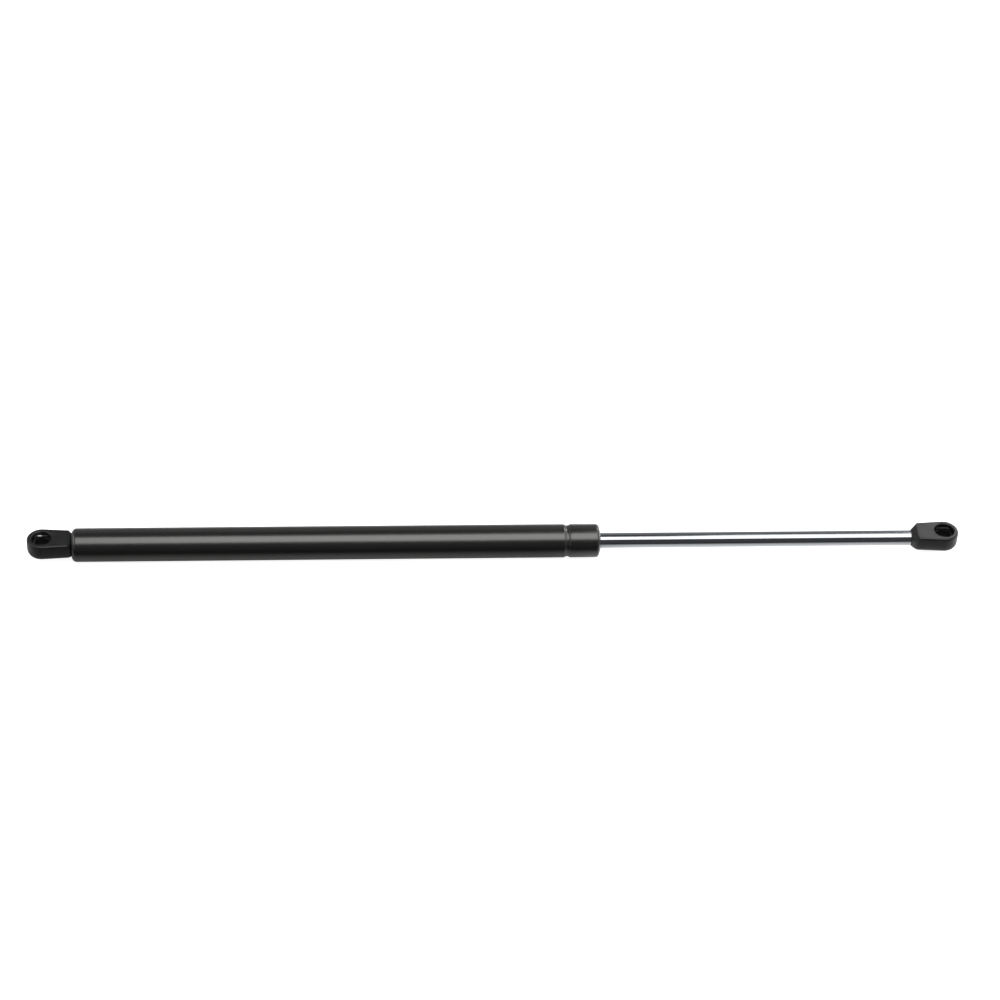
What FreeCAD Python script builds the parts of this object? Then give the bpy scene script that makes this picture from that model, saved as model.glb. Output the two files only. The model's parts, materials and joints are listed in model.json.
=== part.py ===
import FreeCAD, Part, Sketcher
import math
import os

# Gas strut stay with a 22 mm cylinder, a 10 mm rod and a plastic ball socket at each end.
# Millimetres. The origin is the ball centre of the socket on the cylinder, +X runs along
# the strut to the rod's end and +Z points out of the mouths of both sockets.

SIZES = {
    # the whole strut, drawn at full extension
    "ball_to_ball": 590.4,
    # cylinder tube
    "tube_start": 19.4,
    "tube_length": 342.5,
    "tube_radius": 11.0,
    "tube_wall": 1.5,
    "closed_corner": 3.2,
    "open_corner": 2.2,
    "open_lip_radius": 6.9,
    "open_lip_bulge": 0.7,
    "bead_from_end": 21.0,
    "bead_half_width": 2.6,
    "bead_depth": 0.8,
    # threads of both studs
    "thread_radius": 4.0,
    "thread_root": 3.4,
    "thread_pitch": 1.25,
    "thread_play": 0.06,
    "thread_start": 10.0,
    "stud_groove_mouth": 0.56,
    "stud_groove_root": 0.06,
    "nut_groove_mouth": 0.62,
    "nut_groove_root": 0.17,
    "stud_tip": 8.4,
    "stud_tip_radius": 3.0,
    "neck_mouth_radius": 4.15,
    "neck_mouth_depth": 1.7,
    # end plug with its stud
    "plug_recess": 2.4,
    "plug_radius": 9.42,
    "plug_length": 7.6,
    "plug_chamfer": 0.8,
    "plug_edge_drop": 0.22,
    "plug_groove_start": 2.2,
    "plug_groove_width": 2.6,
    "plug_groove_radius": 7.5,
    "ring_section": 0.94,
    "ring_play": 0.03,
    # ball sockets
    "ball_seat": 5.05,
    "seat_height": 2.2,
    "mouth_radius": 6.5,
    "mouth_flare": 0.4,
    "mouth_height": 6.4,
    "back_depth": 5.9,
    "tip_radius": 9.5,
    "neck_end": 21.7,
    "neck_shoulder": 18.4,
    "neck_half_width": 8.2,
    "neck_end_width": 4.95,
    "neck_end_height": 4.3,
    "neck_end_depth": 4.7,
    "neck_end_radius": 5.2,
    "neck_corner": 4.0,
    "neck_brow": 2.6,
    "edge_round": 1.4,
    "back_round": 4.2,
    "bore_floor": 7.5,
    # spring clips
    "clip_wire": 0.6,
    "clip_leg": 5.75,
    "clip_bow": 4.8,
    "clip_reach": 4.8,
    "clip_bend": 2.0,
    "clip_height": 2.95,
    "clip_slot_tip": 7.1,
    "clip_slot_neck": 5.3,
    "clip_slot_width": 6.6,
    "clip_slot_height": 1.5,
    # piston rod
    "rod_radius": 5.0,
    "rod_end_chamfer": 0.4,
    "rod_shoulder_chamfer": 0.3,
    "shank_radius": 3.5,
    "rivet_radius": 4.5,
    "rivet_height": 1.6,
    # piston, from the rod's shoulder towards the closed end
    "buffer_gap": 0.2,
    "buffer_length": 5.8,
    "buffer_radius": 8.2,
    "buffer_play": 0.06,
    "buffer_chamfer": 0.6,
    "backing_thickness": 1.6,
    "backing_radius": 8.8,
    "piston_length": 9.8,
    "piston_radius": 9.3,
    "piston_chamfer": 0.5,
    "piston_groove_start": 3.2,
    "piston_groove_width": 3.4,
    "piston_groove_radius": 7.3,
    "piston_port_radius": 0.8,
    "piston_port_circle": 5.4,
    "piston_ring_width": 3.0,
    "piston_ring_inner": 7.6,
    "piston_ring_outer": 9.45,
    "piston_ring_chamfer": 0.3,
    "valve_thickness": 1.2,
    "valve_radius": 8.2,
    "valve_slot_width": 1.2,
    "rivet_washer_thickness": 1.6,
    "rivet_washer_radius": 6.5,
    "shank_play": 0.05,
    "washer_chamfer": 0.25,
    "thin_chamfer": 0.15,
    # guide and seal pack, from the bead towards the rod's end
    "pack_radius": 9.42,
    "support_thickness": 1.5,
    "support_bore": 5.3,
    "seal_length": 6.0,
    "seal_lip_radius": 5.02,
    "seal_heel_radius": 5.3,
    "seal_heel_start": 3.0,
    "seal_corner": 0.3,
    "seal_lead": 0.6,
    "seal_lead_drop": 0.5,
    "seal_lip_land": 2.2,
    "seal_inner_lip": 1.1,
    "seal_inner_root": 1.6,
    "seal_outer_lip": 1.0,
    "seal_outer_root": 1.6,
    "seal_cup_side": 3.2,
    "seal_cup_depth": 3.6,
    "seal_cup_floor": 2.0,
    "guide_length": 7.4,
    "guide_chamfer": 0.4,
    "guide_bore": 5.66,
    "guide_groove_start": 2.2,
    "guide_groove_width": 2.6,
    "liner_bore": 5.04,
    "liner_radius": 5.62,
    "liner_length": 7.0,
    "cover_thickness": 1.9,
    "cover_chamfer": 0.4,
    "cover_bore": 6.75,
    "wiper_radius": 6.7,
    "wiper_length": 3.2,
    "wiper_lip_length": 0.9,
    "wiper_gap": 0.05,
    "wiper_heel_play": 0.4,
    "wiper_edge_land": 0.2,
    "wiper_edge_lead": 0.1,
    "wiper_edge_thickness": 0.35,
    "wiper_shoulder_drop": 0.5,
}

STUD_TURNS = 9
PISTON_PORTS = 3
# the rounding of the tube's curled edges, as a share of its wall
LIP_ROUND = 0.52
# moulding draft of the sockets, in degrees
DRAFT = 1.5
# how far a cutting outline reaches past the surface that it cuts
PAST = 1.0
# how far a thread's cutting outline does
PAST_THREAD = 0.1

doc = FreeCAD.newDocument("GasStrutStay")
sheet = doc.addObject("Spreadsheet::Sheet", "Sizes")
for row, (alias, number) in enumerate(SIZES.items(), start=1):
    sheet.set(f"A{row}", alias)
    sheet.set(f"B{row}", str(number))
    sheet.setAlias(f"B{row}", alias)
doc.recompute()


class Size:
    """A length in millimetres together with the sheet formula that it comes from."""

    def __init__(self, value, formula):
        self.value = value
        self.formula = formula

    def __add__(self, other):
        other = as_size(other)
        return Size(self.value + other.value, f"({self.formula} + {other.formula})")

    def __sub__(self, other):
        other = as_size(other)
        return Size(self.value - other.value, f"({self.formula} - {other.formula})")

    def __mul__(self, other):
        other = as_size(other)
        return Size(self.value * other.value, f"({self.formula} * {other.formula})")

    def __truediv__(self, other):
        other = as_size(other)
        return Size(self.value / other.value, f"({self.formula} / {other.formula})")

    def __neg__(self):
        return Size(-self.value, f"(0 - {self.formula})")


def as_size(number):
    if isinstance(number, Size):
        return number
    return Size(float(number), f"{number}")


def size(alias):
    return Size(SIZES[alias], f"Sizes.{alias}")


def origin_plane(body, role):
    return next(f for f in body.Origin.OriginFeatures if f.Role == role)


def new_body(label):
    body = doc.addObject("PartDesign::Body", label)
    body.Label = label
    return body


def place(part, along=0.0, turn=FreeCAD.Rotation()):
    """Puts a sub-part's own frame at a place along the strut."""
    along = as_size(along)
    part.Placement = FreeCAD.Placement(FreeCAD.Vector(along.value, 0, 0), turn)
    part.setExpression("Placement.Base.x", along.formula)
    return part


def new_sketch(body, name, role="XZ_Plane", height=None):
    sketch = body.newObject("Sketcher::SketchObject", name)
    sketch.AttachmentSupport = [(origin_plane(body, role), "")]
    sketch.MapMode = "FlatFace"
    if height is not None:
        sketch.AttachmentOffset = FreeCAD.Placement(
            FreeCAD.Vector(0, 0, height.value), FreeCAD.Rotation()
        )
        sketch.setExpression("AttachmentOffset.Base.z", height.formula)
    return sketch


def bind(sketch, kind, *where, length):
    """One driving dimension of a sketch, bound to its sheet formula."""
    number = sketch.addConstraint(Sketcher.Constraint(kind, *where, length.value))
    sketch.setExpression(f"Constraints[{number}]", length.formula)


def arc_between(start, end, radius, left):
    """The arc of under half a turn from start to end whose centre lies on the left or the right."""
    half_chord = (end - start) / 2
    rise = math.sqrt(max(radius**2 - half_chord.Length**2, 0))
    side = FreeCAD.Vector(-half_chord.y, half_chord.x, 0).normalize()
    centre = start + half_chord + side * (rise if left else -rise)
    first, last = (start, end) if left else (end, start)
    angles = [math.atan2((p - centre).y, (p - centre).x) for p in (first, last)]
    circle = Part.Circle(centre, FreeCAD.Vector(0, 0, 1), radius)
    return Part.ArcOfCircle(circle, *angles)


def draw(sketch, corners):
    """A closed outline. Each corner is (across, up), and (across, up, radius, side) where the
    edge that leaves it is an arc with its centre on its left or its right."""
    corners = [
        (as_size(c[0]), as_size(c[1]), *((as_size(c[2]), c[3]) if len(c) > 2 else ()))
        for c in corners
    ]
    points = [FreeCAD.Vector(c[0].value, c[1].value, 0) for c in corners]
    first_edge = sketch.GeometryCount
    starts = []
    ends = []
    for number, corner in enumerate(corners):
        start, end = points[number], points[(number + 1) % len(corners)]
        if len(corner) == 2:
            sketch.addGeometry(Part.LineSegment(start, end), False)
            starts.append(1)
            ends.append(2)
        else:
            left = corner[3] == "left"
            sketch.addGeometry(arc_between(start, end, corner[2].value, left), False)
            starts.append(1 if left else 2)
            ends.append(2 if left else 1)
    for number, corner in enumerate(corners):
        edge = first_edge + number
        last = first_edge + (number - 1) % len(corners)
        sketch.addConstraint(
            Sketcher.Constraint("Coincident", last, ends[number - 1], edge, starts[number])
        )
        bind(sketch, "DistanceX", -1, 1, edge, starts[number], length=corner[0])
        bind(sketch, "DistanceY", -1, 1, edge, starts[number], length=corner[1])
        if len(corner) > 2:
            bind(sketch, "Radius", edge, length=corner[2])


def outline(body, name, corners, role="XZ_Plane", height=None):
    sketch = new_sketch(body, name, role, height)
    draw(sketch, corners)
    return sketch


def revolve(body, name, corners, kind="PartDesign::Revolution", axis="H_Axis"):
    """A full turn of an outline in the XZ plane, about X (H_Axis) or about Z (V_Axis)."""
    sketch = outline(body, f"{name}_outline", corners)
    turned = body.newObject(kind, name)
    turned.Profile = sketch
    turned.ReferenceAxis = (sketch, [axis])
    turned.Angle = 360
    doc.recompute()
    return turned


def turned_piece(label, corners, along):
    """A piece made on a lathe: an outline of (along, radius) turned about the strut's axis."""
    body = new_body(label)
    revolve(body, "turned", corners)
    place(body, along)
    return body


def washer(label, along, thickness, bore, outside, chamfer="washer_chamfer"):
    """A flat ring whose four rims are broken by a small chamfer."""
    cut = size(chamfer)
    corners = [
        (0, bore + cut),
        (cut, bore),
        (thickness - cut, bore),
        (thickness, bore + cut),
        (thickness, outside - cut),
        (thickness - cut, outside),
        (cut, outside),
        (0, outside - cut),
    ]
    return turned_piece(label, corners, along)


def cut_ridges(body, first, turns, mouth, root, half_mouth, half_root):
    """A row of V grooves one pitch apart, which stand for a thread: each is wide where it
    opens, at the mouth's radius, and narrow at its root."""
    groove = revolve(
        body,
        "thread_groove",
        [
            (first - half_mouth, mouth),
            (first - half_root, root),
            (first + half_root, root),
            (first + half_mouth, mouth),
        ],
        kind="PartDesign::Groove",
    )
    row = body.newObject("PartDesign::LinearPattern", "thread")
    row.Originals = [groove]
    row.Direction = (groove.Profile[0], ["H_Axis"])
    row.Occurrences = turns
    span = size("thread_pitch") * (turns - 1)
    row.Length = span.value
    row.setExpression("Length", span.formula)
    body.Tip = row
    doc.recompute()


def cut_stud_thread(body, first):
    cut_ridges(
        body,
        first=first,
        turns=STUD_TURNS,
        mouth=size("thread_radius") + PAST_THREAD,
        root=size("thread_root"),
        half_mouth=size("stud_groove_mouth"),
        half_root=size("stud_groove_root"),
    )


def cut_something(body, cut):
    """Makes a new cut and stops the build where it takes nothing away."""
    before = body.Shape.Volume
    doc.recompute()
    if body.Shape.Volume >= before:
        raise RuntimeError(f"{cut.Label} cuts nothing")


def orbit(body, feature, sketch, count):
    """Repeats a cut evenly round the strut's axis."""
    ring = body.newObject("PartDesign::PolarPattern", f"{feature.Name}_ring")
    ring.Originals = [feature]
    ring.Axis = (sketch, ["N_Axis"])
    ring.Angle = 360
    ring.Occurrences = count
    body.Tip = ring
    doc.recompute()


def make_tube():
    """Drawn tube: curled over the end plug at one end and over the seal pack at the other,
    with a rolled bead that holds the pack from inside."""
    length, radius, wall = size("tube_length"), size("tube_radius"), size("tube_wall")
    inner = radius - wall
    closed, opened = size("closed_corner"), size("open_corner")
    lip = size("open_lip_radius")
    lip_face = length + size("open_lip_bulge")
    bead = length - size("bead_from_end")
    half, depth = size("bead_half_width"), size("bead_depth")
    bend = (half * half + depth * depth) / (depth * 4)

    def rolled(surface, step):
        """The four arcs of the bead on one side of the wall, walked in step direction."""
        outer, inner = ("right", "left") if step > 0 else ("left", "right")
        sides = (outer, inner, inner, outer)
        return [
            (bead - half * step, surface, bend, sides[0]),
            (bead - half * step / 2, surface - depth / 2, bend, sides[1]),
            (bead, surface - depth, bend, sides[2]),
            (bead + half * step / 2, surface - depth / 2, bend, sides[3]),
            (bead + half * step, surface),
        ]

    return turned_piece(
        "cylinder_tube",
        [
            (0, radius - closed, closed, "right"),
            (closed, radius),
            *rolled(radius, 1),
            (length - opened, radius, opened, "right"),
            (length, radius - opened),
            (lip_face, lip, wall * LIP_ROUND, "right"),
            (lip_face - wall, lip),
            (length - wall, radius - opened, opened - wall, "left"),
            (length - opened, inner),
            *rolled(inner, -1),
            (closed, inner, closed - wall, "left"),
            (wall, radius - closed, wall * LIP_ROUND, "right"),
        ],
        size("tube_start"),
    )


def make_end_stud():
    """Turned end plug with a seal groove and its threaded stud, which points away from it."""
    face = size("tube_start") + size("plug_recess")
    stud, thread = face - size("stud_tip"), size("thread_radius")
    nose = size("stud_tip_radius")
    radius, length = size("plug_radius"), size("plug_length")
    groove = size("plug_groove_start")
    groove_end = groove + size("plug_groove_width")
    floor = size("plug_groove_radius")
    chamfer = size("plug_chamfer")
    body = turned_piece(
        "end_stud",
        [
            (-stud, 0),
            (-stud, nose),
            (-stud + thread - nose, thread),
            (0, thread),
            (0, radius - size("plug_edge_drop")),
            (chamfer, radius),
            (groove, radius),
            (groove, floor),
            (groove_end, floor),
            (groove_end, radius),
            (length - chamfer, radius),
            (length, radius - chamfer),
            (length, 0),
        ],
        face,
    )
    cut_stud_thread(body, size("thread_start") - face)
    return body


def ring_seal(label, along):
    """Rubber ring of round section about the strut's axis, just off the floor of its groove."""
    middle = size("plug_groove_radius") + size("ring_section") + size("ring_play")
    ring = doc.addObject("Part::Torus", label)
    ring.Label = label
    ring.setExpression("Radius1", middle.formula)
    ring.setExpression("Radius2", size("ring_section").formula)
    return place(ring, along, FreeCAD.Rotation(FreeCAD.Vector(0, 1, 0), 90))


def socket_body(label):
    """The moulded body before its edges are rounded: a tapered plan, drafted both ways from
    the parting plane, with its neck end bevelled on all four sides."""
    tip = size("tip_radius")
    end, shoulder = size("neck_end"), size("neck_shoulder")
    wide, narrow = size("neck_half_width"), size("neck_end_width")
    body = new_body(label)
    plan = new_sketch(body, "plan", "XY_Plane")
    lean = math.atan((tip.value - wide.value) / shoulder.value)
    touch = FreeCAD.Vector(tip.value * math.sin(lean), tip.value * math.cos(lean), 0)
    near = FreeCAD.Vector(touch.x, -touch.y, 0)
    corners = [
        FreeCAD.Vector(shoulder.value, -wide.value, 0),
        FreeCAD.Vector(end.value, -narrow.value, 0),
        FreeCAD.Vector(end.value, narrow.value, 0),
        FreeCAD.Vector(shoulder.value, wide.value, 0),
    ]
    circle = Part.Circle(FreeCAD.Vector(), FreeCAD.Vector(0, 0, 1), tip.value)
    plan.addGeometry(Part.ArcOfCircle(circle, math.pi / 2 - lean, 3 * math.pi / 2 + lean), False)
    for start, stop in zip([near, *corners], [*corners, touch]):
        plan.addGeometry(Part.LineSegment(start, stop), False)
    plan.addConstraint(Sketcher.Constraint("Coincident", 0, 3, -1, 1))
    bind(plan, "Radius", 0, length=tip)
    plan.addConstraint(Sketcher.Constraint("Tangent", 0, 2, 1, 1))
    for line in range(1, 5):
        plan.addConstraint(Sketcher.Constraint("Coincident", line, 2, line + 1, 1))
    plan.addConstraint(Sketcher.Constraint("Tangent", 5, 2, 0, 1))
    for line, across, up in (
        (1, shoulder, -wide),
        (2, end, -narrow),
        (3, end, narrow),
        (4, shoulder, wide),
    ):
        bind(plan, "DistanceX", -1, 1, line, 2, length=across)
        bind(plan, "DistanceY", -1, 1, line, 2, length=up)
    for name, alias, downward in (
        ("mouth_half", "mouth_height", False),
        ("back_half", "back_depth", True),
    ):
        half = body.newObject("PartDesign::Pad", name)
        half.Profile = plan
        half.setExpression("Length", size(alias).formula)
        half.Reversed = downward
        half.TaperAngle = -DRAFT
        doc.recompute()
    return body


def bevel_neck(body):
    """Slopes the neck's mouth side and back side down to the rod, and softens its shoulders."""
    end, shoulder = size("neck_end"), size("neck_shoulder")
    top, back = size("mouth_height"), size("back_depth")
    for name, sign, face, edge in (
        ("mouth_bevel", 1, top, size("neck_end_height")),
        ("back_bevel", -1, back, size("neck_end_depth")),
    ):
        wedge = outline(
            body,
            f"{name}_outline",
            [
                (shoulder, face * sign),
                (end, edge * sign),
                (end + PAST, edge * sign),
                (end + PAST, (face + PAST) * sign),
                (shoulder, (face + PAST) * sign),
            ],
        )
        cut = body.newObject("PartDesign::Pocket", name)
        cut.Profile = wedge
        cut.Type = "ThroughAll"
        cut.Midplane = True
        doc.recompute()


def round_edges(body, name, radius, wanted):
    """Fillets the edges whose two ends and middle are wanted."""
    base = body.Tip
    edges = []
    for number, edge in enumerate(base.Shape.Edges, start=1):
        ends = [vertex.Point for vertex in edge.Vertexes]
        middle = edge.valueAt((edge.FirstParameter + edge.LastParameter) / 2)
        if wanted(middle, ends):
            edges.append(f"Edge{number}")
    fillet = body.newObject("PartDesign::Fillet", name)
    fillet.Base = (base, edges)
    fillet.Radius = radius.value
    fillet.setExpression("Radius", radius.formula)
    doc.recompute()


def round_neck(body):
    """Rounds the upright corners of the neck's shoulders, then the two brows across its mouth
    side and back side."""
    shoulder, wide = SIZES["neck_shoulder"], SIZES["neck_half_width"]

    def at_shoulder(middle):
        return abs(middle.x - shoulder) < wide / 20

    def is_corner(middle, ends):
        upright = abs(ends[0].z - ends[-1].z) > SIZES["mouth_height"] / 2
        return upright and at_shoulder(middle) and abs(middle.y) > wide / 2

    def is_brow(middle, ends):
        return abs(ends[0].y - ends[-1].y) > wide and at_shoulder(middle)

    round_edges(body, "neck_corners", size("neck_corner"), is_corner)
    round_edges(body, "neck_brows", size("neck_brow"), is_brow)


def round_rims(body):
    """Rounds the long rims of the mouth side and, more softly, of the back side."""
    top, back, close = SIZES["neck_end_height"], SIZES["neck_end_depth"], 0.1

    def is_long(middle, ends):
        across = len(ends) == 2 and abs(ends[0].x - ends[1].x) < close and ends[0].y * ends[1].y < 0
        return middle.x < SIZES["neck_end"] - close and not across

    def is_mouth_rim(middle, ends):
        return middle.z > top and is_long(middle, ends)

    def is_back_rim(middle, ends):
        return middle.z < -back and is_long(middle, ends)

    round_edges(body, "mouth_rim", size("edge_round"), is_mouth_rim)
    round_edges(body, "back_rim", size("back_round"), is_back_rim)


def turn_neck_end(body):
    """Turns the neck's end to a cone, which clears the curl of the tube."""
    end, radius = size("neck_end"), size("neck_end_radius")
    reach = size("tip_radius")
    revolve(
        body,
        "neck_cone",
        [
            (end, radius),
            (end + PAST, radius),
            (end + PAST, radius + reach),
            (end - reach, radius + reach),
        ],
        kind="PartDesign::Groove",
    )


def make_socket(label, along, turn):
    """Moulded ball socket: round seat, flared mouth, slots for the clip's legs and a threaded
    bore up its neck. Its own frame has the ball centre at 0 and the neck along +X."""
    body = socket_body(label)
    bevel_neck(body)
    round_neck(body)
    round_rims(body)
    turn_neck_end(body)
    cut_mouth(body)
    cut_socket_thread(body)
    place(body, along, turn)
    return body


def cut_mouth(body):
    """Ball seat and mouth, with the clip's slots inside."""
    seat, level, mouth = size("ball_seat"), size("seat_height"), size("mouth_radius")
    over = size("mouth_height") + PAST
    flare = size("mouth_flare")
    revolve(
        body,
        "ball_seat",
        [
            (0, -seat, seat, "left"),
            (seat, 0),
            (seat, level),
            (mouth, level),
            (mouth, size("mouth_height") - flare),
            (mouth + flare + PAST, over),
            (0, over),
        ],
        kind="PartDesign::Groove",
        axis="V_Axis",
    )
    slot_tip, slot_neck = size("clip_slot_tip"), size("clip_slot_neck")
    slot_width = size("clip_slot_width")
    bend = size("clip_bend") + size("clip_wire")
    cut_flat(
        body,
        "clip_slots",
        [
            (-slot_tip + bend, -slot_width),
            (slot_neck, -slot_width),
            (slot_neck, slot_width),
            (-slot_tip + bend, slot_width, bend, "left"),
            (-slot_tip, slot_width - bend),
            (-slot_tip, -slot_width + bend, bend, "left"),
        ],
        level,
        size("clip_slot_height"),
    )


def cut_socket_thread(body):
    """Bore up the neck with ridges half a pitch off the stud's, and a plain mouth."""
    play = size("thread_play")
    bore, floor, end = size("thread_root") + play, size("bore_floor"), size("neck_end")
    mouth = size("neck_mouth_radius")
    mouth_start = end - size("neck_mouth_depth")
    revolve(
        body,
        "thread_bore",
        [
            (floor, 0),
            (floor, bore),
            (mouth_start, bore),
            (mouth_start, mouth),
            (end + PAST, mouth),
            (end + PAST, 0),
        ],
        kind="PartDesign::Groove",
    )
    cut_ridges(
        body,
        first=size("thread_start") - size("thread_pitch") / 2,
        turns=STUD_TURNS,
        mouth=bore - PAST_THREAD,
        root=size("thread_radius") + play,
        half_mouth=size("nut_groove_mouth"),
        half_root=size("nut_groove_root"),
    )


def cut_flat(body, name, corners, level, depth):
    """Cuts a flat outline upwards from a level above the parting plane."""
    sketch = outline(body, f"{name}_outline", corners, "XY_Plane", level)
    cut = body.newObject("PartDesign::Pocket", name)
    cut.Profile = sketch
    cut.Reversed = True
    cut.setExpression("Length", depth.formula)
    cut_something(body, cut)


def make_clip(label, along, turn):
    """U of spring wire: two legs beside the ball and a bow that closes the mouth at the tip."""
    body = new_body(label)
    leg, bow, reach = size("clip_leg"), size("clip_bow"), size("clip_reach")
    bend, level = size("clip_bend"), size("clip_height")
    path = new_sketch(body, "wire_path", "XY_Plane", level)
    points = [
        FreeCAD.Vector(x.value, y.value, 0)
        for x, y in ((reach, leg), (-bow + bend, leg), (-bow, leg - bend))
    ]
    mirrored = [FreeCAD.Vector(p.x, -p.y, 0) for p in reversed(points)]
    path.addGeometry(Part.LineSegment(points[0], points[1]), False)
    path.addGeometry(arc_between(points[1], points[2], bend.value, True), False)
    path.addGeometry(Part.LineSegment(points[2], mirrored[0]), False)
    path.addGeometry(arc_between(mirrored[0], mirrored[1], bend.value, True), False)
    path.addGeometry(Part.LineSegment(mirrored[1], mirrored[2]), False)
    for edge in range(4):
        path.addConstraint(Sketcher.Constraint("Tangent", edge, 2, edge + 1, 1))
    for edge in (0, 4):
        path.addConstraint(Sketcher.Constraint("Horizontal", edge))
    path.addConstraint(Sketcher.Constraint("Vertical", 2))
    for edge in (1, 3):
        bind(path, "Radius", edge, length=bend)
    bind(path, "DistanceX", -1, 1, 0, 1, length=reach)
    bind(path, "DistanceY", -1, 1, 0, 1, length=leg)
    bind(path, "DistanceX", -1, 1, 4, 2, length=reach)
    bind(path, "DistanceY", -1, 1, 4, 2, length=-leg)
    bind(path, "DistanceX", -1, 1, 2, 1, length=-bow)
    section, gauge = new_sketch(body, "wire_section", "YZ_Plane", reach), size("clip_wire")
    centre = FreeCAD.Vector(leg.value, level.value, 0)
    section.addGeometry(Part.Circle(centre, FreeCAD.Vector(0, 0, 1), gauge.value), False)
    bind(section, "DistanceX", -1, 1, 0, 3, length=leg)
    bind(section, "DistanceY", -1, 1, 0, 3, length=level)
    bind(section, "Radius", 0, length=gauge)
    doc.recompute()
    wire = body.newObject("PartDesign::AdditivePipe", "wire")
    wire.Profile = section
    wire.Spine = (path, [f"Edge{number}" for number in range(1, 6)])
    doc.recompute()
    place(body, along, turn)
    return body


def make_rod(neck, shoulder):
    """Ground rod: a threaded end for its socket and a stepped shank riveted over the piston."""
    radius, thread, nose = size("rod_radius"), size("thread_radius"), size("stud_tip_radius")
    chamfer, step = size("rod_end_chamfer"), size("rod_shoulder_chamfer")
    stud = size("neck_end") - size("stud_tip")
    shank, rivet, height = size("shank_radius"), size("rivet_radius"), size("rivet_height")
    inner = neck - shoulder
    riveted = inner + shank_stack()
    dome = (rivet * rivet + height * height) / (height * 2)
    body = turned_piece(
        "piston_rod",
        [
            (stud, 0),
            (-riveted - height, 0, dome, "right"),
            (-riveted, rivet),
            (-riveted, shank),
            (-inner, shank),
            (-inner, radius - step),
            (-inner + step, radius),
            (-chamfer, radius),
            (0, radius - chamfer),
            (0, thread),
            (stud + nose - thread, thread),
            (stud, nose),
        ],
        neck,
    )
    last_root = size("thread_start") + size("thread_pitch") * (STUD_TURNS - 1)
    cut_stud_thread(body, size("neck_end") - last_root)
    return body


def shank_stack():
    """Length of the shank from the rod's shoulder to the riveted head."""
    return (
        size("backing_thickness")
        + size("piston_length")
        + size("valve_thickness")
        + size("rivet_washer_thickness")
    )


def make_piston(along):
    """Piston with a groove for its ring and three bleed ports."""
    bore = size("shank_radius") + size("shank_play")
    radius, length = size("piston_radius"), size("piston_length")
    groove = size("piston_groove_start")
    groove_end = groove + size("piston_groove_width")
    floor = size("piston_groove_radius")
    chamfer = size("piston_chamfer")
    body = turned_piece(
        "piston_body",
        [
            (0, bore),
            (length, bore),
            (length, radius - chamfer),
            (length - chamfer, radius),
            (groove_end, radius),
            (groove_end, floor),
            (groove, floor),
            (groove, radius),
            (chamfer, radius),
            (0, radius - chamfer),
        ],
        along,
    )
    port = new_sketch(body, "port_outline", "YZ_Plane")
    port.addGeometry(
        Part.Circle(
            FreeCAD.Vector(0, SIZES["piston_port_circle"], 0),
            FreeCAD.Vector(0, 0, 1),
            SIZES["piston_port_radius"],
        ),
        False,
    )
    port.addConstraint(Sketcher.Constraint("PointOnObject", 0, 3, -2))
    bind(port, "DistanceY", -1, 1, 0, 3, length=size("piston_port_circle"))
    bind(port, "Radius", 0, length=size("piston_port_radius"))
    cut_through_all_round(body, "port", port)
    return body


def cut_through_all_round(body, name, sketch):
    """Cuts a cross-section outline through the piece and repeats it about X."""
    cut = body.newObject("PartDesign::Pocket", name)
    cut.Profile = sketch
    cut.Type = "ThroughAll"
    cut.Midplane = True
    cut_something(body, cut)
    orbit(body, cut, sketch, PISTON_PORTS)


def make_valve_disc(along):
    """Thin disc on the piston with three open slots that meter the oil."""
    bore = size("shank_radius") + size("shank_play")
    radius = size("valve_radius")
    body = washer("piston_valve_disc", along, size("valve_thickness"), bore, radius, "thin_chamfer")
    half, circle = size("valve_slot_width") / 2, size("piston_port_circle")
    slot = outline(
        body,
        "slot_outline",
        [
            (-half, circle),
            (half, circle),
            (half, radius + PAST),
            (-half, radius + PAST),
        ],
        "YZ_Plane",
    )
    cut_through_all_round(body, "slot", slot)
    return body


def make_piston_assembly(shoulder):
    """Everything that the rod's shank holds, and the two pieces that ride beside it."""
    bore = size("shank_radius") + size("shank_play")
    pieces = [
        washer(
            "stop_buffer",
            shoulder,
            size("buffer_length"),
            size("rod_radius") + size("buffer_play"),
            size("buffer_radius"),
            "buffer_chamfer",
        )
    ]
    place_now = shoulder - size("backing_thickness")
    pieces.append(
        washer(
            "piston_backing_washer",
            place_now,
            size("backing_thickness"),
            bore,
            size("backing_radius"),
        )
    )
    place_now = place_now - size("piston_length")
    pieces.append(make_piston(place_now))
    groove_play = (size("piston_groove_width") - size("piston_ring_width")) / 2
    ring_place = place_now + size("piston_groove_start") + groove_play
    pieces.append(
        washer(
            "piston_ring",
            ring_place,
            size("piston_ring_width"),
            size("piston_ring_inner"),
            size("piston_ring_outer"),
            "piston_ring_chamfer",
        )
    )
    place_now = place_now - size("valve_thickness")
    pieces.append(make_valve_disc(place_now))
    place_now = place_now - size("rivet_washer_thickness")
    pieces.append(
        washer(
            "piston_rivet_washer",
            place_now,
            size("rivet_washer_thickness"),
            bore,
            size("rivet_washer_radius"),
        )
    )
    return pieces


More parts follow.
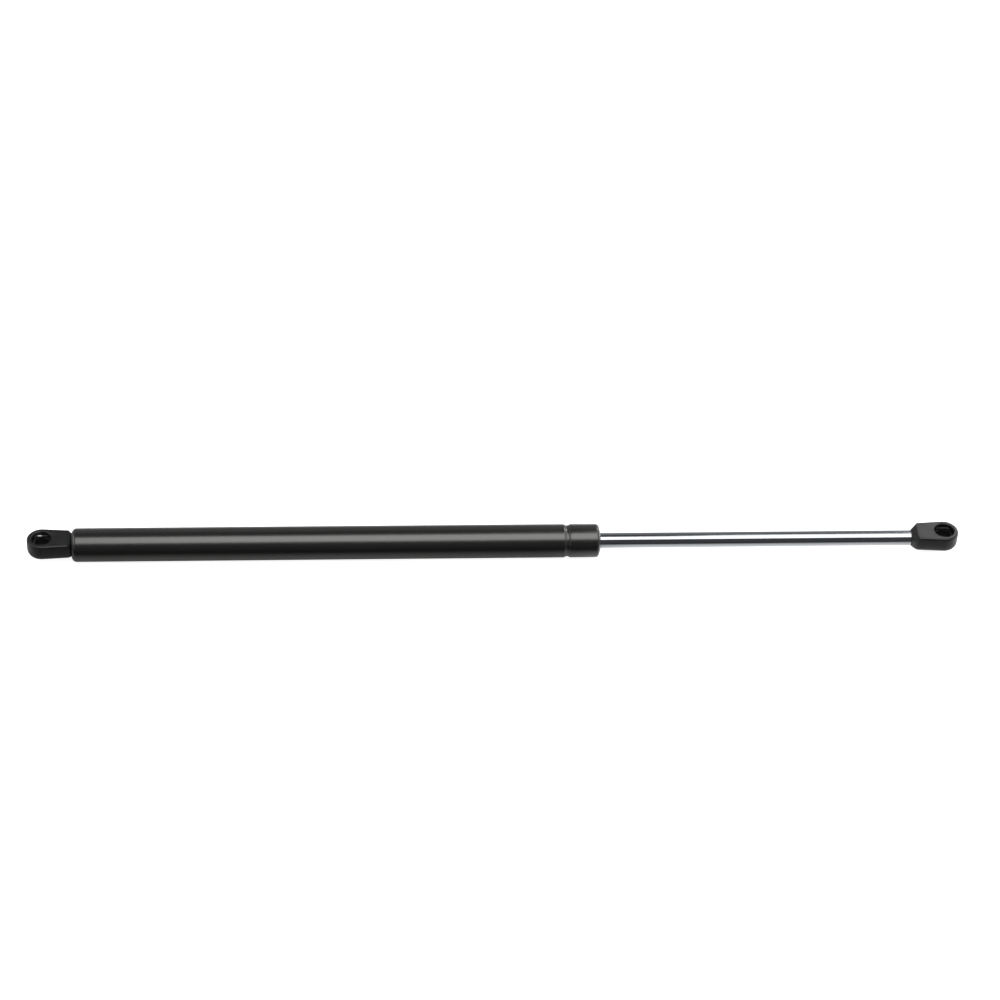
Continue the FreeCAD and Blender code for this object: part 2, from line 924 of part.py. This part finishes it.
def make_rod_seal(along):
    """Rubber seal with an open cup towards the gas, one lip on the rod and one on the tube."""
    outside, length = size("pack_radius"), size("seal_length")
    lip, heel, corner = size("seal_lip_radius"), size("seal_heel_radius"), size("seal_corner")
    lead, drop = size("seal_lead"), size("seal_lead_drop")
    return turned_piece(
        "rod_seal",
        [
            (0, lip + drop),
            (lead, lip),
            (size("seal_lip_land"), lip),
            (size("seal_heel_start"), heel),
            (length, heel),
            (length, outside - corner),
            (length - corner, outside),
            (lead, outside),
            (0, outside - drop),
            (0, outside - size("seal_outer_lip")),
            (size("seal_cup_side"), outside - size("seal_outer_root")),
            (size("seal_cup_depth"), outside - size("seal_cup_floor")),
            (size("seal_cup_side"), lip + size("seal_inner_root")),
            (0, lip + size("seal_inner_lip")),
        ],
        along,
    )


def make_guide(along):
    """Guide bush of the rod, with a ring seal's groove in its outside."""
    outside, length, bore = size("pack_radius"), size("guide_length"), size("guide_bore")
    groove = size("guide_groove_start")
    groove_end = groove + size("guide_groove_width")
    floor = size("plug_groove_radius")
    chamfer = size("guide_chamfer")
    return turned_piece(
        "rod_guide",
        [
            (0, bore),
            (length, bore),
            (length, outside - chamfer),
            (length - chamfer, outside),
            (groove_end, outside),
            (groove_end, floor),
            (groove, floor),
            (groove, outside),
            (chamfer, outside),
            (0, outside - chamfer),
        ],
        along,
    )


def make_wiper(along):
    """Scraper ring whose thin lip shows round the rod where it leaves the cylinder."""
    lip, outside = size("seal_lip_radius"), size("wiper_radius")
    length, nose = size("wiper_length"), size("wiper_lip_length")
    heel = lip + size("wiper_heel_play")
    return turned_piece(
        "rod_wiper",
        [
            (0, heel),
            (length - nose, heel),
            (length - size("wiper_edge_land"), lip),
            (length, lip + size("wiper_edge_lead")),
            (length, lip + size("wiper_edge_thickness")),
            (length - nose, outside - size("wiper_shoulder_drop")),
            (size("cover_thickness"), outside),
            (0, outside),
        ],
        along,
    )


def make_seal_pack(start):
    """Everything between the bead and the curled mouth of the tube."""
    outside = size("pack_radius")
    pieces = [
        washer("seal_support_washer", start, size("support_thickness"), size("support_bore"), outside)
    ]
    place_now = start + size("support_thickness")
    pieces.append(make_rod_seal(place_now))
    place_now = place_now + size("seal_length")
    pieces.append(make_guide(place_now))
    ring_place = place_now + size("guide_groove_start") + size("guide_groove_width") / 2
    pieces.append(ring_seal("guide_ring_seal", ring_place))
    liner_place = place_now + (size("guide_length") - size("liner_length")) / 2
    pieces.append(
        washer(
            "guide_liner",
            liner_place,
            size("liner_length"),
            size("liner_bore"),
            size("liner_radius"),
            "thin_chamfer",
        )
    )
    place_now = place_now + size("guide_length")
    pieces.append(
        washer(
            "end_cover_washer",
            place_now,
            size("cover_thickness"),
            size("cover_bore"),
            outside,
            "cover_chamfer",
        )
    )
    pieces.append(make_wiper(place_now + size("wiper_gap")))
    return pieces


def make_strut():
    half_turn = FreeCAD.Rotation(FreeCAD.Vector(0, 0, 1), 180)
    no_turn = FreeCAD.Rotation()
    far_ball = size("ball_to_ball")
    rod_neck = far_ball - size("neck_end")
    bead = size("tube_start") + size("tube_length") - size("bead_from_end")
    pack_start = bead + size("bead_half_width")
    shoulder = pack_start - size("buffer_gap") - size("buffer_length")
    plug_ring = (
        size("tube_start")
        + size("plug_recess")
        + size("plug_groove_start")
        + size("plug_groove_width") / 2
    )
    return [
        make_tube(),
        make_end_stud(),
        ring_seal("end_plug_seal", plug_ring),
        make_socket("tube_end_fitting", 0, no_turn),
        make_clip("tube_socket_clip", 0, no_turn),
        make_rod(rod_neck, shoulder),
        *make_piston_assembly(shoulder),
        *make_seal_pack(pack_start),
        make_socket("rod_end_fitting", far_ball, half_turn),
        make_clip("rod_socket_clip", far_ball, half_turn),
    ]


sub_parts = make_strut()
doc.recompute()
for item in doc.Objects:
    if "Invalid" in item.State or "Error" in item.State:
        raise RuntimeError(f"{item.Label} failed: {item.State}")
for part in sub_parts:
    if part.Shape.isNull() or not part.Shape.isValid() or part.Shape.Volume <= 0:
        raise RuntimeError(f"{part.Label} has no valid shape")

os.makedirs("parts", exist_ok=True)
for part in sub_parts:
    part.Shape.exportStep(f"parts/{part.Label}.step")
    print(part.Label, round(part.Shape.Volume, 2), len(part.Shape.Solids))
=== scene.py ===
"""Gas strut stay at full extension on a pale floor, in metres, in the CAD model's frame.

The tube and the rod are turned again here as finer meshes. Every other piece is the CAD's own
node, with a material made from nodes.
"""

import json
import math

import bmesh
import bpy
from mathutils import Matrix, Vector


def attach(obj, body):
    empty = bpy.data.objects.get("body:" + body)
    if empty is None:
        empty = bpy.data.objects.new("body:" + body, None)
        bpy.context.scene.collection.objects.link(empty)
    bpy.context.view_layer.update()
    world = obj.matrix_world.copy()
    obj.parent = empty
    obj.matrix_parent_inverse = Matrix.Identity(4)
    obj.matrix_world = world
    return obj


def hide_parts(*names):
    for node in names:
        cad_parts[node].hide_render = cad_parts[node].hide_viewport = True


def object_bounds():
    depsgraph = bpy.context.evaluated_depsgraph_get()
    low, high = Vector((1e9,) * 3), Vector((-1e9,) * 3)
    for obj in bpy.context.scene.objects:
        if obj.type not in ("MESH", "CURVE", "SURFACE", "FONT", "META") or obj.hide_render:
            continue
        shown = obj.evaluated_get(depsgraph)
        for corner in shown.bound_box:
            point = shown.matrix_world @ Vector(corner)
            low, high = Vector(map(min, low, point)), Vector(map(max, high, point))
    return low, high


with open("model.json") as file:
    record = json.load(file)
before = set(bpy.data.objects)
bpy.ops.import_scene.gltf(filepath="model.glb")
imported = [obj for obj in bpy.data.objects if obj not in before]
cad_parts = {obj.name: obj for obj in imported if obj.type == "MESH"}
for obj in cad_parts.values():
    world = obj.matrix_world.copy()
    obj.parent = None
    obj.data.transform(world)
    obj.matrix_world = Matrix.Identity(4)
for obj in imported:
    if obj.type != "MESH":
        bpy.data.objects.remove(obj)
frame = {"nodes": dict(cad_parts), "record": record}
cad_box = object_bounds()

MM = 0.001
# sides of a turned mesh, and the runs that stand for one of its arcs
AROUND = 192
ARC_STEPS = 10
# a radius in millimetres that counts as on the axis
ON_AXIS = 1e-6
SMOOTH_BELOW = math.radians(32)


# ---------------------------------------------------------------- meshes


def arc_points(start, end, radius, side):
    """Points of the arc from start to end, without its last one. Its centre is on the left or
    right of the way there."""
    half = (end - start) / 2
    rise = math.sqrt(max(radius**2 - half.length_squared, 0.0))
    left = Vector((-half.y, half.x)).normalized()
    sign = 1 if side == "left" else -1
    centre = start + half + left * rise * sign
    first = math.atan2(start.y - centre.y, start.x - centre.x)
    sweep = 2 * math.asin(min(half.length / radius, 1.0)) * sign
    turns = [first + sweep * step / ARC_STEPS for step in range(ARC_STEPS)]
    return [centre + radius * Vector((math.cos(turn), math.sin(turn))) for turn in turns]


def outline_points(corners):
    """Walks an outline in millimetres. A corner is (along, radius), and also has an arc's
    radius and side where an arc leaves it."""
    points = []
    for number, corner in enumerate(corners):
        start = Vector(corner[:2])
        end = Vector(corners[(number + 1) % len(corners)][:2])
        if len(corner) == 2:
            points.append(start)
        else:
            points += arc_points(start, end, corner[2], corner[3])
    return points


def mesh_object(name, mesh_builder):
    """Makes an object from a bmesh, shaded smooth where its faces meet at a small angle."""
    shape = bmesh.new()
    mesh_builder(shape)
    bmesh.ops.recalc_face_normals(shape, faces=shape.faces)
    for edge in shape.edges:
        edge.smooth = len(edge.link_faces) == 2 and edge.calc_face_angle(0) < SMOOTH_BELOW
    for face in shape.faces:
        face.smooth = True
    mesh = bpy.data.meshes.new(name)
    shape.to_mesh(mesh)
    shape.free()
    piece = bpy.data.objects.new(name, mesh)
    bpy.context.collection.objects.link(piece)
    return piece


def lathe(name, corners, start=0.0):
    """Turns an outline in millimetres about the strut's axis, from a place along it. An outline
    that begins on the axis also ends there, and any other is closed."""
    points = outline_points(corners)

    def ring_at(shape, spot):
        along = (start + spot.x) * MM
        if spot.y < ON_AXIS:
            return [shape.verts.new((along, 0, 0))]
        radius = spot.y * MM
        turns = [2 * math.pi * step / AROUND for step in range(AROUND)]
        return [
            shape.verts.new((along, radius * math.cos(turn), radius * math.sin(turn)))
            for turn in turns
        ]

    def build(shape):
        rings = [ring_at(shape, spot) for spot in points]
        if points[0].y > ON_AXIS:
            rings.append(rings[0])
        for ring, after in zip(rings, rings[1:]):
            for step in range(AROUND):
                corner = [
                    ring[step % len(ring)],
                    ring[(step + 1) % len(ring)],
                    after[(step + 1) % len(after)],
                    after[step % len(after)],
                ]
                unique = list(dict.fromkeys(corner))
                if len(unique) > 2:
                    shape.faces.new(unique)

    return mesh_object(name, build)


# ---------------------------------------------------------------- materials


class Nodes:
    """A Principled material, and short words for building its nodes."""

    def __init__(self, name):
        self.material = bpy.data.materials.new(name)
        self.material.use_nodes = True
        self.tree = self.material.node_tree
        self.tree.nodes.clear()
        output = self.add("ShaderNodeOutputMaterial")
        self.shader = self.add("ShaderNodeBsdfPrincipled")
        self.link(self.shader.outputs[0], output.inputs["Surface"])

    def add(self, kind, **settings):
        node = self.tree.nodes.new(kind)
        for name, value in settings.items():
            setattr(node, name, value)
        return node

    def link(self, start, end):
        self.tree.links.new(start, end)

    def set(self, **values):
        """Values that are the same all over, on the shader's own sockets."""
        for name, value in values.items():
            self.shader.inputs[name.replace("_", " ")].default_value = value

    def feed(self, value, name):
        self.link(value, self.shader.inputs[name])

    def place(self, stretch=(1, 1, 1)):
        """Object coordinates, stretched."""
        where = self.add("ShaderNodeTexCoord")
        mapping = self.add("ShaderNodeMapping")
        mapping.inputs["Scale"].default_value = stretch
        self.link(where.outputs["Object"], mapping.inputs["Vector"])
        return mapping.outputs["Vector"]

    def noise(self, scale, detail, stretch=(1, 1, 1)):
        texture = self.add("ShaderNodeTexNoise")
        texture.inputs["Scale"].default_value = scale
        texture.inputs["Detail"].default_value = detail
        self.link(self.place(stretch), texture.inputs["Vector"])
        return texture.outputs["Fac"]

    def spread(self, value, low, high, low_in=0.3, high_in=0.7):
        """Spreads a value over a range of numbers. A noise mostly lies in the default input
        range."""
        node = self.add("ShaderNodeMapRange")
        node.inputs["From Min"].default_value = low_in
        node.inputs["From Max"].default_value = high_in
        node.inputs["To Min"].default_value = low
        node.inputs["To Max"].default_value = high
        self.link(value, node.inputs["Value"])
        return node.outputs["Result"]

    def mix(self, kind, factor, **sides):
        """Mixes sides A and B, each a fixed value or another node's output."""
        node = self.add("ShaderNodeMix", data_type=kind)
        self.link(factor, node.inputs["Factor"])
        for name, side in sides.items():
            if isinstance(side, bpy.types.NodeSocket):
                self.link(side, node.inputs[name])
            else:
                node.inputs[name].default_value = side
        return node.outputs["Result"]

    def blend(self, texture, dark, light):
        """A colour between two, by a texture."""
        return self.mix("RGBA", self.spread(texture, 0, 1), A=(*dark, 1), B=(*light, 1))

    def colour(self, texture, dark, light):
        self.feed(self.blend(texture, dark, light), "Base Color")

    def gloss(self, texture, low, high):
        """Roughness that a texture moves between two values."""
        self.feed(self.spread(texture, low, high), "Roughness")

    def relief(self, texture, height, strength):
        """Bump of a height in metres."""
        node = self.add("ShaderNodeBump")
        node.inputs["Strength"].default_value = strength
        node.inputs["Distance"].default_value = height
        self.link(texture, node.inputs["Height"])
        self.feed(node.outputs["Normal"], "Normal")


def grey(level):
    return (level, level, level)


def tube_paint():
    """Semi-gloss black paint: a faint orange peel, and a haze along the tube's draw lines."""
    made = Nodes("semi_gloss_black_paint")
    lines = made.noise(900, 4.0, stretch=(0.012, 1, 1))
    made.colour(lines, dark=(0.0038, 0.0038, 0.0031), light=(0.0066, 0.0065, 0.0055))
    made.gloss(lines, 0.275, 0.295)
    made.relief(made.noise(420, 3.0), height=0.00006, strength=0.35)
    made.set(IOR=1.9, Specular_Tint=(1.0, 0.99, 0.955, 1), Coat_Weight=0.3, Coat_Roughness=0.15)
    return made.material


def rod_chrome():
    """Hard chrome on a ground rod: very fine rings and a few lengthwise wipe marks."""
    made = Nodes("hard_chrome")
    wipes = made.noise(700, 3.0, stretch=(0.02, 1, 1))
    made.colour(wipes, dark=(0.485, 0.5, 0.52), light=(0.525, 0.54, 0.56))
    made.gloss(wipes, 0.09, 0.14)
    rings = made.noise(2600, 2.0, stretch=(1, 0.04, 0.04))
    made.relief(rings, height=0.000003, strength=0.06)
    made.set(Metallic=1.0)
    return made.material


def socket_nylon():
    """Black glass-filled nylon with a fine moulded grain and slight flow shading."""
    made = Nodes("black_moulded_nylon")
    flow = made.noise(260, 3.0, stretch=(0.5, 1, 1))
    made.colour(flow, dark=(0.0075, 0.0075, 0.008), light=(0.0135, 0.0135, 0.014))
    made.gloss(flow, 0.34, 0.45)
    made.relief(made.noise(4200, 2.0), height=0.00004, strength=0.35)
    made.set(IOR=1.6)
    return made.material


# a bright patch on the tube end's clip: wear where a ball rides, and a painted glint in that
# mouth
WEAR_AND_GLINT_SPOT = (-0.0014, 0.0053, 0.0029)
WEAR_AND_GLINT_RADIUS = 0.0018


def spring_wire():
    """Blued spring wire with faint drawn streaks, and one patch that a ball has rubbed bright,
    placed as a painted glint on the tube end's clip.
    """
    made = Nodes("blued_spring_wire")
    streak = made.noise(900, 3.0, stretch=(0.35, 1, 1))
    away = made.add("ShaderNodeVectorMath", operation="DISTANCE")
    away.inputs[1].default_value = WEAR_AND_GLINT_SPOT
    made.link(made.place(), away.inputs[0])
    # bright patch: wear where a ball rides, and a painted glint in the tube end's mouth
    wear_and_glint = made.spread(away.outputs["Value"], 1, 0, WEAR_AND_GLINT_RADIUS / 2, WEAR_AND_GLINT_RADIUS)
    blued = made.blend(streak, dark=(0.025, 0.025, 0.03), light=(0.09, 0.09, 0.1))
    made.feed(made.mix("RGBA", wear_and_glint, A=blued, B=(0.8, 0.8, 0.8, 1)), "Base Color")
    made.gloss(streak, 0.42, 0.3)
    made.relief(made.noise(3000, 2.0), height=0.00002, strength=0.3)
    made.set(Metallic=1.0)
    return made.material


def plated_steel():
    """Zinc plate, clouded, over turning marks."""
    made = Nodes("zinc_plated_steel")
    cloud = made.noise(240, 2.0)
    made.colour(cloud, dark=(0.5, 0.51, 0.53), light=grey(0.6))
    made.gloss(cloud, 0.28, 0.4)
    turning = made.noise(2400, 2.0, stretch=(1, 0.05, 0.05))
    made.relief(turning, height=0.00002, strength=0.3)
    made.set(Metallic=1.0)
    return made.material


def plain_plastic(name, dark, light, low, high):
    """A moulded or rubber surface: two close colours, uneven gloss and a fine grain."""
    made = Nodes(name)
    cloud = made.noise(300, 3.0)
    made.colour(cloud, dark, light)
    made.gloss(cloud, low, high)
    made.relief(made.noise(3000, 2.0), height=0.00003, strength=0.4)
    return made.material


def cast_metal(name, dark, light, low, high):
    """A clouded metal with a coarser skin."""
    made = Nodes(name)
    cloud = made.noise(500, 4.0)
    made.colour(cloud, dark, light)
    made.gloss(cloud, low, high)
    made.relief(made.noise(1800, 3.0), height=0.00004, strength=0.4)
    made.set(Metallic=1.0)
    return made.material


MATERIALS = {
    "tube_paint": tube_paint(),
    "rod_chrome": rod_chrome(),
    "socket_nylon": socket_nylon(),
    "spring_wire": spring_wire(),
    "zinc_steel": plated_steel(),
    "seal_rubber": plain_plastic("nitrile_rubber", grey(0.012), grey(0.02), 0.5, 0.65),
    "wiper_rubber": plain_plastic("wiper_rubber", grey(0.016), grey(0.026), 0.45, 0.6),
    "piston_metal": cast_metal("cast_alloy", (0.58, 0.58, 0.6), (0.7, 0.7, 0.72), 0.35, 0.5),
    "ring_plastic": plain_plastic(
        "filled_ptfe", (0.62, 0.58, 0.5), (0.72, 0.69, 0.6), 0.4, 0.55
    ),
    "liner_bronze": cast_metal("liner_bronze", (0.5, 0.36, 0.2), (0.6, 0.45, 0.26), 0.3, 0.45),
    "guide_plastic": plain_plastic("guide_nylon", grey(0.03), grey(0.05), 0.4, 0.55),
    "buffer_plastic": plain_plastic("buffer_urethane", grey(0.05), grey(0.08), 0.4, 0.55),
}


def dress(piece, slot):
    piece.data.materials.clear()
    piece.data.materials.append(MATERIALS[slot])


for row in frame["record"]["subparts"]:
    dress(frame["nodes"][row["node"]], row["material_slot"])


def stand_for(piece, node, body, slot):
    """A finer piece takes the place of a CAD node, on its body and with its finish."""
    dress(piece, slot)
    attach(piece, body)
    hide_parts(node)


# ---------------------------------------------------------------- the tube, in millimetres

# just inside the 11 mm of the CAD, whose facets don't reach it all round
TUBE_RADIUS = 10.965
TUBE_WALL = 1.5
TUBE_START = 19.4
TUBE_LENGTH = 342.5
CLOSED_CORNER = 3.2
OPEN_CORNER = 2.2
OPEN_LIP = 6.9
OPEN_BULGE = 0.7
# bend radius of a rounded lip, as a share of the wall
LIP_ROUND = 0.52
BEAD_FROM_END = 21.0
BEAD_HALF = 2.6
BEAD_DEPTH = 0.8


def bead_corners(surface, step):
    """The four arcs of the rolled bead on one side of the wall, walked forwards or back."""
    middle = TUBE_LENGTH - BEAD_FROM_END
    bend = (BEAD_HALF**2 + BEAD_DEPTH**2) / (4 * BEAD_DEPTH)
    first, second = ("right", "left") if step > 0 else ("left", "right")
    return [
        (middle - BEAD_HALF * step, surface, bend, first),
        (middle - BEAD_HALF * step / 2, surface - BEAD_DEPTH / 2, bend, second),
        (middle, surface - BEAD_DEPTH, bend, second),
        (middle + BEAD_HALF * step / 2, surface - BEAD_DEPTH / 2, bend, first),
        (middle + BEAD_HALF * step, surface),
    ]


def make_tube():
    """Drawn tube with a rolled bead, curled in at both ends."""
    inner = TUBE_RADIUS - TUBE_WALL
    lip_bend = TUBE_WALL * LIP_ROUND
    return lathe(
        "painted_tube",
        [
            (0, TUBE_RADIUS - CLOSED_CORNER, CLOSED_CORNER, "right"),
            (CLOSED_CORNER, TUBE_RADIUS),
            *bead_corners(TUBE_RADIUS, 1),
            (TUBE_LENGTH - OPEN_CORNER, TUBE_RADIUS, OPEN_CORNER, "right"),
            (TUBE_LENGTH, TUBE_RADIUS - OPEN_CORNER),
            (TUBE_LENGTH + OPEN_BULGE, OPEN_LIP, lip_bend, "right"),
            (TUBE_LENGTH + OPEN_BULGE - TUBE_WALL, OPEN_LIP),
            (TUBE_LENGTH - TUBE_WALL, TUBE_RADIUS - OPEN_CORNER, OPEN_CORNER - TUBE_WALL, "left"),
            (TUBE_LENGTH - OPEN_CORNER, inner),
            *bead_corners(inner, -1),
            (CLOSED_CORNER, inner, CLOSED_CORNER - TUBE_WALL, "left"),
            (TUBE_WALL, TUBE_RADIUS - CLOSED_CORNER, lip_bend, "right"),
        ],
        TUBE_START,
    )


stand_for(make_tube(), "cylinder_tube", "cylinder", "tube_paint")


# ---------------------------------------------------------------- the rod, in millimetres

ROD_RADIUS = 5.0
ROD_FACE = 568.7
ROD_TIP = 582.0
ROD_SHOULDER = 337.5
SHOULDER_CHAMFER = 0.3
FACE_CHAMFER = 0.4
TIP_CHAMFER = 1.0
SHANK_RADIUS = 3.5
RIVET_RADIUS = 4.5
RIVET_START = 323.3
RIVET_HEIGHT = 1.6
THREAD_RADIUS = 4.0
THREAD_ROOT = 3.4
THREAD_PITCH = 1.25
THREAD_FIRST = 570.4
THREAD_TURNS = 9
GROOVE_MOUTH = 0.49
GROOVE_ROOT = 0.06


def thread_corners():
    """The V grooves that stand for the rod's thread."""
    corners = []
    for turn in range(THREAD_TURNS):
        middle = THREAD_FIRST + THREAD_PITCH * turn
        corners += [
            (middle - GROOVE_MOUTH, THREAD_RADIUS),
            (middle - GROOVE_ROOT, THREAD_ROOT),
            (middle + GROOVE_ROOT, THREAD_ROOT),
            (middle + GROOVE_MOUTH, THREAD_RADIUS),
        ]
    return corners


def make_rod():
    """Ground rod with a riveted shank inside the tube and a threaded outer end."""
    dome = (RIVET_RADIUS**2 + RIVET_HEIGHT**2) / (2 * RIVET_HEIGHT)
    return lathe(
        "ground_rod",
        [
            (RIVET_START - RIVET_HEIGHT, 0, dome, "right"),
            (RIVET_START, RIVET_RADIUS),
            (RIVET_START, SHANK_RADIUS),
            (ROD_SHOULDER, SHANK_RADIUS),
            (ROD_SHOULDER, ROD_RADIUS - SHOULDER_CHAMFER),
            (ROD_SHOULDER + SHOULDER_CHAMFER, ROD_RADIUS),
            (ROD_FACE - FACE_CHAMFER, ROD_RADIUS),
            (ROD_FACE, ROD_RADIUS - FACE_CHAMFER),
            (ROD_FACE, THREAD_RADIUS),
            *thread_corners(),
            (ROD_TIP - TIP_CHAMFER, THREAD_RADIUS),
            (ROD_TIP, THREAD_RADIUS - TIP_CHAMFER),
            (ROD_TIP, 0),
        ],
    )


stand_for(make_rod(), "piston_rod", "rod", "rod_chrome")


# ---------------------------------------------------------------- floor, light and camera

FLOOR_HALF = 6.0
# the floor's own light towards the camera, and in reflections beside the rod
FLOOR_GLOW = 0.9
ROD_GLOW = 0.55
# in reflections the floor's painted pool of light fades to this share between these two places in
# front of the strut
POOL_DARK = 0.03
POOL_FRONT = -0.034
POOL_BACK = -0.001
# where the floor's painted glow in the rod's reflections begins and is full, along the strut
ROD_PART_START = 0.33
ROD_PART_FULL = 0.38
# strength of the room's light, at the sides and towards the strut's ends, and of the backdrop
ROOM_GLOW = 0.08
ENDS_GLOW = 0.3
BACKDROP_GLOW = 0.95
# how far a direction leans towards an end, from 0 to 1, where the ends' light begins and is full
ENDS_BEGIN = 0.4
ENDS_FULL = 0.7


def floor_white():
    """Matt white floor with a glow for the camera only, which lifts its shadows. In reflections
    its colour and glow are a painted pool of light about the strut that fades out in front."""
    made = Nodes("pale_floor")
    where = made.add("ShaderNodeSeparateXYZ")
    made.link(made.place(), where.inputs[0])
    # painted pool of light for reflections, dark in front of the strut
    pool = made.spread(where.outputs["Y"], POOL_DARK, 1.0, POOL_FRONT, POOL_BACK)
    # painted glow in the rod's reflections
    by_rod = made.spread(where.outputs["X"], 0, ROD_GLOW, ROD_PART_START, ROD_PART_FULL)
    seen = made.add("ShaderNodeLightPath").outputs["Is Camera Ray"]
    pale = made.add("ShaderNodeMath", operation="MAXIMUM")
    made.link(pool, pale.inputs[0])
    made.link(seen, pale.inputs[1])
    white = made.mix("RGBA", made.noise(3, 2.0), A=(*grey(0.8), 1), B=(*grey(0.84), 1))
    made.feed(made.mix("RGBA", pale.outputs[0], A=(0, 0, 0, 1), B=white), "Base Color")
    reflected = made.add("ShaderNodeMath", operation="MULTIPLY")
    made.link(pool, reflected.inputs[0])
    made.link(by_rod, reflected.inputs[1])
    glow = made.mix("FLOAT", seen, A=reflected.outputs[0], B=FLOOR_GLOW)
    made.feed(glow, "Emission Strength")
    made.set(Roughness=0.9, IOR=1.3, Emission_Color=(1, 1, 1, 1))
    return made.material


def make_floor():
    level, half = cad_box[0].z, FLOOR_HALF

    def build(shape):
        corners = [(-half, -half), (half, -half), (half, half), (-half, half)]
        shape.faces.new([shape.verts.new((x, y, level)) for x, y in corners])

    floor = mesh_object("floor", build)
    floor.data.materials.append(floor_white())


def soft_box(name, spot, aim, size, glow):
    """A rectangular lamp, unseen by the camera, whose face shines with the given radiance."""
    lamp = bpy.data.lights.new(name, "AREA")
    lamp.shape = "RECTANGLE"
    lamp.size, lamp.size_y = size
    lamp.energy = glow * math.pi * size[0] * size[1]
    holder = bpy.data.objects.new(name, lamp)
    bpy.context.collection.objects.link(holder)
    holder.location = spot
    holder.rotation_euler = (Vector(aim) - Vector(spot)).to_track_quat("-Z", "Y").to_euler()
    holder.visible_camera = False


def make_room():
    """Dim room light, brighter towards the strut's two ends, and a pale backdrop where the
    camera looks past the floor."""
    world = bpy.data.worlds.new("room")
    world.use_nodes = True
    tree = world.node_tree
    tree.nodes.clear()
    output = tree.nodes.new("ShaderNodeOutputWorld")
    mix = tree.nodes.new("ShaderNodeMixShader")
    path = tree.nodes.new("ShaderNodeLightPath")
    room = tree.nodes.new("ShaderNodeBackground")
    room.inputs["Color"].default_value = (0.9, 0.95, 1.0, 1)
    where = tree.nodes.new("ShaderNodeTexCoord")
    direction = tree.nodes.new("ShaderNodeSeparateXYZ")
    endwise = tree.nodes.new("ShaderNodeMath")
    endwise.operation = "ABSOLUTE"
    strength = tree.nodes.new("ShaderNodeMapRange")
    strength.inputs["From Min"].default_value = ENDS_BEGIN
    strength.inputs["From Max"].default_value = ENDS_FULL
    strength.inputs["To Min"].default_value = ROOM_GLOW
    strength.inputs["To Max"].default_value = ENDS_GLOW
    tree.links.new(where.outputs["Generated"], direction.inputs[0])
    tree.links.new(direction.outputs["X"], endwise.inputs[0])
    tree.links.new(endwise.outputs[0], strength.inputs["Value"])
    tree.links.new(strength.outputs["Result"], room.inputs["Strength"])
    backdrop = tree.nodes.new("ShaderNodeBackground")
    backdrop.inputs["Color"].default_value = (1, 1, 1, 1)
    backdrop.inputs["Strength"].default_value = BACKDROP_GLOW
    tree.links.new(path.outputs["Is Camera Ray"], mix.inputs["Fac"])
    tree.links.new(room.outputs[0], mix.inputs[1])
    tree.links.new(backdrop.outputs[0], mix.inputs[2])
    tree.links.new(mix.outputs[0], output.inputs["Surface"])
    bpy.context.scene.world = world


def make_camera(target, distance, azimuth, elevation, roll, field):
    """A camera that looks at a target from a distance in metres, angles in degrees."""
    azimuth, elevation, roll = (math.radians(angle) for angle in (azimuth, elevation, roll))
    ahead = Vector(
        (
            math.sin(azimuth) * math.cos(elevation),
            math.cos(azimuth) * math.cos(elevation),
            -math.sin(elevation),
        )
    )
    right = Vector((math.cos(azimuth), -math.sin(azimuth), 0))
    up = right.cross(ahead)
    across = right * math.cos(roll) + up * math.sin(roll)
    upward = up * math.cos(roll) - right * math.sin(roll)
    turn = Matrix((across, upward, -ahead)).transposed()
    camera = bpy.data.cameras.new("camera")
    camera.lens = camera.sensor_width / 2 / math.tan(math.radians(field) / 2)
    holder = bpy.data.objects.new("camera", camera)
    bpy.context.collection.objects.link(holder)
    holder.matrix_world = Matrix.Translation(Vector(target) - ahead * distance) @ turn.to_4x4()
    bpy.context.scene.camera = holder


make_floor()
make_room()
# overhead and a little in front: the long highlight on the tube and the rod
soft_box("key", (0.45, -0.46, 1.35), (0.45, 0, 0), size=(1.6, 1.1), glow=2.3)
# widens that highlight towards the rod's end
soft_box("right_top", (0.9, 0.27, 1.35), (0.9, 0, 0), size=(0.56, 0.42), glow=1.6)
# behind on the right: the sheen on the rod end's socket
soft_box("back_right", (1.235, 1.08, 0.96), (0.59, 0, 0), size=(0.6, 0.5), glow=5.0)
# low and wide behind: the tone along the upper edges
soft_box("back_fill", (0.3, 1.5, 0.75), (0.3, 0, 0), size=(3.0, 1.6), glow=0.18)
# past both ends: something for the metal to reflect in views along the strut
soft_box("left_side", (-1.2, 0, 1.0), (0.1, 0, 0), size=(1.6, 0.9), glow=1.0)
soft_box("right_side", (1.85, 0, 1.0), (0.5, 0, 0), size=(1.6, 0.9), glow=1.0)
make_camera(
    target=(0.29585, 0, 0.0358),
    distance=1.8,
    azimuth=4.89,
    elevation=41,
    roll=2.75,
    field=20.33,
)
bpy.context.scene.view_settings.view_transform = "Standard"
